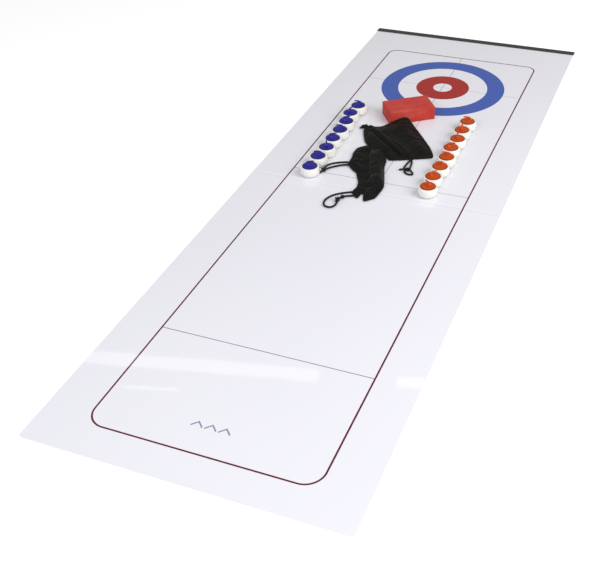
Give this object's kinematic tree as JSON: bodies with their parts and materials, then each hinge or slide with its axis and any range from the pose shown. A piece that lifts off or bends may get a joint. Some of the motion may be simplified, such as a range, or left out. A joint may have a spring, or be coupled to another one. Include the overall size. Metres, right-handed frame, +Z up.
{
  "type": "tabletop curling game",
  "caption": "Long folding tabletop curling sheet with printed house, ball-borne stones in two colours, an end strip, a foam block and two drawstring bags.",
  "frame": {"origin": "centre of the fold line at mid-length, on the underside of the sheet", "axes": "+X across the sheet to the right of a player at the near end, +Y along the sheet towards the house, +Z up"},
  "size_m": [0.602, 1.824, 0.0386],
  "materials": {
    "sheet": "white glossy plastic sheet with printed lines and rings",
    "strip": "brown-black semi-matt edge strip",
    "stone_base": "warm white moulded plastic",
    "blue_cap": "deep blue moulded plastic",
    "orange_cap": "orange-red moulded plastic",
    "ball": "polished steel ball",
    "foam": "red open-cell foam, matt",
    "bag_cloth": "black woven polyester",
    "cord": "black braided cord"
  },
  "bodies": {
    "mat": {"mat_far_half": "sheet", "end_strip": "strip"},
    "near_half": {"mat_near_half": "sheet"},
    "blue_1_roller": {"blue_1_ball": "ball"},
    "blue_1_stone": {"blue_1_base": "stone_base", "blue_1_cap": "blue_cap"},
    "blue_2_roller": {"blue_2_ball": "ball"},
    "blue_2_stone": {"blue_2_base": "stone_base", "blue_2_cap": "blue_cap"},
    "blue_3_roller": {"blue_3_ball": "ball"},
    "blue_3_stone": {"blue_3_base": "stone_base", "blue_3_cap": "blue_cap"},
    "blue_4_roller": {"blue_4_ball": "ball"},
    "blue_4_stone": {"blue_4_base": "stone_base", "blue_4_cap": "blue_cap"},
    "blue_5_roller": {"blue_5_ball": "ball"},
    "blue_5_stone": {"blue_5_base": "stone_base", "blue_5_cap": "blue_cap"},
    "blue_6_roller": {"blue_6_ball": "ball"},
    "blue_6_stone": {"blue_6_base": "stone_base", "blue_6_cap": "blue_cap"},
    "blue_7_roller": {"blue_7_ball": "ball"},
    "blue_7_stone": {"blue_7_base": "stone_base", "blue_7_cap": "blue_cap"},
    "blue_8_roller": {"blue_8_ball": "ball"},
    "blue_8_stone": {"blue_8_base": "stone_base", "blue_8_cap": "blue_cap"},
    "orange_1_roller": {"orange_1_ball": "ball"},
    "orange_1_stone": {"orange_1_base": "stone_base", "orange_1_cap": "orange_cap"},
    "orange_2_roller": {"orange_2_ball": "ball"},
    "orange_2_stone": {"orange_2_base": "stone_base", "orange_2_cap": "orange_cap"},
    "orange_3_roller": {"orange_3_ball": "ball"},
    "orange_3_stone": {"orange_3_base": "stone_base", "orange_3_cap": "orange_cap"},
    "orange_4_roller": {"orange_4_ball": "ball"},
    "orange_4_stone": {"orange_4_base": "stone_base", "orange_4_cap": "orange_cap"},
    "orange_5_roller": {"orange_5_ball": "ball"},
    "orange_5_stone": {"orange_5_base": "stone_base", "orange_5_cap": "orange_cap"},
    "orange_6_roller": {"orange_6_ball": "ball"},
    "orange_6_stone": {"orange_6_base": "stone_base", "orange_6_cap": "orange_cap"},
    "orange_7_roller": {"orange_7_ball": "ball"},
    "orange_7_stone": {"orange_7_base": "stone_base", "orange_7_cap": "orange_cap"},
    "orange_8_roller": {"orange_8_ball": "ball"},
    "orange_8_stone": {"orange_8_base": "stone_base", "orange_8_cap": "orange_cap"},
    "foam": {"foam_block": "foam"},
    "rear_bag": {"bag_rear": "bag_cloth"},
    "front_bag": {"bag_front": "bag_cloth"},
    "rear_cord_left": {"bag_rear_cord_left": "cord"},
    "rear_cord_right": {"bag_rear_cord_right": "cord"},
    "front_cord_left": {"bag_front_cord_left": "cord"},
    "front_cord_right": {"bag_front_cord_right": "cord"}
  },
  "joints": [
    {"name": "mat_fold", "type": "hinge", "parent": "mat", "child": "near_half", "pos_m": [0, 0, 0], "axis": [1, 0, 0], "range_deg": [0, 175]},
    {"name": "foam_lift", "type": "slide", "parent": "mat", "child": "foam", "axis": [0, 0, 1], "range_m": [0, 0.15]},
    {"name": "rear_bag_lift", "type": "slide", "parent": "mat", "child": "rear_bag", "axis": [0, 0, 1], "range_m": [0, 0.15]},
    {"name": "front_bag_lift", "type": "slide", "parent": "mat", "child": "front_bag", "axis": [0, 0, 1], "range_m": [0, 0.2]},
    {"name": "rear_cord_left_pull", "type": "slide", "parent": "rear_bag", "child": "rear_cord_left", "axis": [-0.2996, 0.0999, 0.9488], "range_m": [0, 0.03]},
    {"name": "rear_cord_right_pull", "type": "slide", "parent": "rear_bag", "child": "rear_cord_right", "axis": [0.1503, -0.3006, 0.9418], "range_m": [0, 0.03]},
    {"name": "front_cord_left_pull", "type": "slide", "parent": "front_bag", "child": "front_cord_left", "axis": [0.0999, -0.2996, 0.9488], "range_m": [0, 0.03]},
    {"name": "front_cord_right_pull", "type": "slide", "parent": "front_bag", "child": "front_cord_right", "axis": [-0.1995, -0.2494, 0.9476], "range_m": [0, 0.03]},
    {"name": "blue_1_glide", "type": "slide", "parent": "mat", "child": "blue_1_roller", "axis": [-1, 0, 0], "range_m": [0, 0.1]},
    {"name": "blue_1_spin", "type": "hinge", "parent": "blue_1_roller", "child": "blue_1_stone", "pos_m": [-0.165, 0.358, 0.00915], "axis": [0, 0, 1], "continuous": true},
    {"name": "blue_2_glide", "type": "slide", "parent": "mat", "child": "blue_2_roller", "axis": [-1, 0, 0], "range_m": [0, 0.1]},
    {"name": "blue_2_spin", "type": "hinge", "parent": "blue_2_roller", "child": "blue_2_stone", "pos_m": [-0.17, 0.3125, 0.00915], "axis": [0, 0, 1], "continuous": true},
    {"name": "blue_3_glide", "type": "slide", "parent": "mat", "child": "blue_3_roller", "axis": [-1, 0, 0], "range_m": [0, 0.1]},
    {"name": "blue_3_spin", "type": "hinge", "parent": "blue_3_roller", "child": "blue_3_stone", "pos_m": [-0.164, 0.2665, 0.00915], "axis": [0, 0, 1], "continuous": true},
    {"name": "blue_4_glide", "type": "slide", "parent": "mat", "child": "blue_4_roller", "axis": [-1, 0, 0], "range_m": [0, 0.1]},
    {"name": "blue_4_spin", "type": "hinge", "parent": "blue_4_roller", "child": "blue_4_stone", "pos_m": [-0.1625, 0.2195, 0.00915], "axis": [0, 0, 1], "continuous": true},
    {"name": "blue_5_glide", "type": "slide", "parent": "mat", "child": "blue_5_roller", "axis": [-1, 0, 0], "range_m": [0, 0.1]},
    {"name": "blue_5_spin", "type": "hinge", "parent": "blue_5_roller", "child": "blue_5_stone", "pos_m": [-0.1635, 0.173, 0.00915], "axis": [0, 0, 1], "continuous": true},
    {"name": "blue_6_glide", "type": "slide", "parent": "mat", "child": "blue_6_roller", "axis": [-1, 0, 0], "range_m": [0, 0.1]},
    {"name": "blue_6_spin", "type": "hinge", "parent": "blue_6_roller", "child": "blue_6_stone", "pos_m": [-0.1615, 0.1265, 0.00915], "axis": [0, 0, 1], "continuous": true},
    {"name": "blue_7_glide", "type": "slide", "parent": "mat", "child": "blue_7_roller", "axis": [-1, 0, 0], "range_m": [0, 0.1]},
    {"name": "blue_7_spin", "type": "hinge", "parent": "blue_7_roller", "child": "blue_7_stone", "pos_m": [-0.1645, 0.08, 0.00915], "axis": [0, 0, 1], "continuous": true},
    {"name": "blue_8_glide", "type": "slide", "parent": "mat", "child": "blue_8_roller", "axis": [-1, 0, 0], "range_m": [0, 0.1]},
    {"name": "blue_8_spin", "type": "hinge", "parent": "blue_8_roller", "child": "blue_8_stone", "pos_m": [-0.1645, 0.029, 0.00915], "axis": [0, 0, 1], "continuous": true},
    {"name": "orange_1_glide", "type": "slide", "parent": "mat", "child": "orange_1_roller", "axis": [1, 0, 0], "range_m": [0, 0.14]},
    {"name": "orange_1_spin", "type": "hinge", "parent": "orange_1_roller", "child": "orange_1_stone", "pos_m": [0.1275, 0.36, 0.00915], "axis": [0, 0, 1], "continuous": true},
    {"name": "orange_2_glide", "type": "slide", "parent": "mat", "child": "orange_2_roller", "axis": [1, 0, 0], "range_m": [0, 0.14]},
    {"name": "orange_2_spin", "type": "hinge", "parent": "orange_2_roller", "child": "orange_2_stone", "pos_m": [0.126, 0.3125, 0.00915], "axis": [0, 0, 1], "continuous": true},
    {"name": "orange_3_glide", "type": "slide", "parent": "mat", "child": "orange_3_roller", "axis": [1, 0, 0], "range_m": [0, 0.14]},
    {"name": "orange_3_spin", "type": "hinge", "parent": "orange_3_roller", "child": "orange_3_stone", "pos_m": [0.1275, 0.266, 0.00915], "axis": [0, 0, 1], "continuous": true},
    {"name": "orange_4_glide", "type": "slide", "parent": "mat", "child": "orange_4_roller", "axis": [1, 0, 0], "range_m": [0, 0.14]},
    {"name": "orange_4_spin", "type": "hinge", "parent": "orange_4_roller", "child": "orange_4_stone", "pos_m": [0.1245, 0.2185, 0.00915], "axis": [0, 0, 1], "continuous": true},
    {"name": "orange_5_glide", "type": "slide", "parent": "mat", "child": "orange_5_roller", "axis": [1, 0, 0], "range_m": [0, 0.14]},
    {"name": "orange_5_spin", "type": "hinge", "parent": "orange_5_roller", "child": "orange_5_stone", "pos_m": [0.127, 0.172, 0.00915], "axis": [0, 0, 1], "continuous": true},
    {"name": "orange_6_glide", "type": "slide", "parent": "mat", "child": "orange_6_roller", "axis": [1, 0, 0], "range_m": [0, 0.14]},
    {"name": "orange_6_spin", "type": "hinge", "parent": "orange_6_roller", "child": "orange_6_stone", "pos_m": [0.125, 0.1245, 0.00915], "axis": [0, 0, 1], "continuous": true},
    {"name": "orange_7_glide", "type": "slide", "parent": "mat", "child": "orange_7_roller", "axis": [1, 0, 0], "range_m": [0, 0.14]},
    {"name": "orange_7_spin", "type": "hinge", "parent": "orange_7_roller", "child": "orange_7_stone", "pos_m": [0.1225, 0.0765, 0.00915], "axis": [0, 0, 1], "continuous": true},
    {"name": "orange_8_glide", "type": "slide", "parent": "mat", "child": "orange_8_roller", "axis": [1, 0, 0], "range_m": [0, 0.14]},
    {"name": "orange_8_spin", "type": "hinge", "parent": "orange_8_roller", "child": "orange_8_stone", "pos_m": [0.1245, 0.03, 0.00915], "axis": [0, 0, 1], "continuous": true}
  ]
}
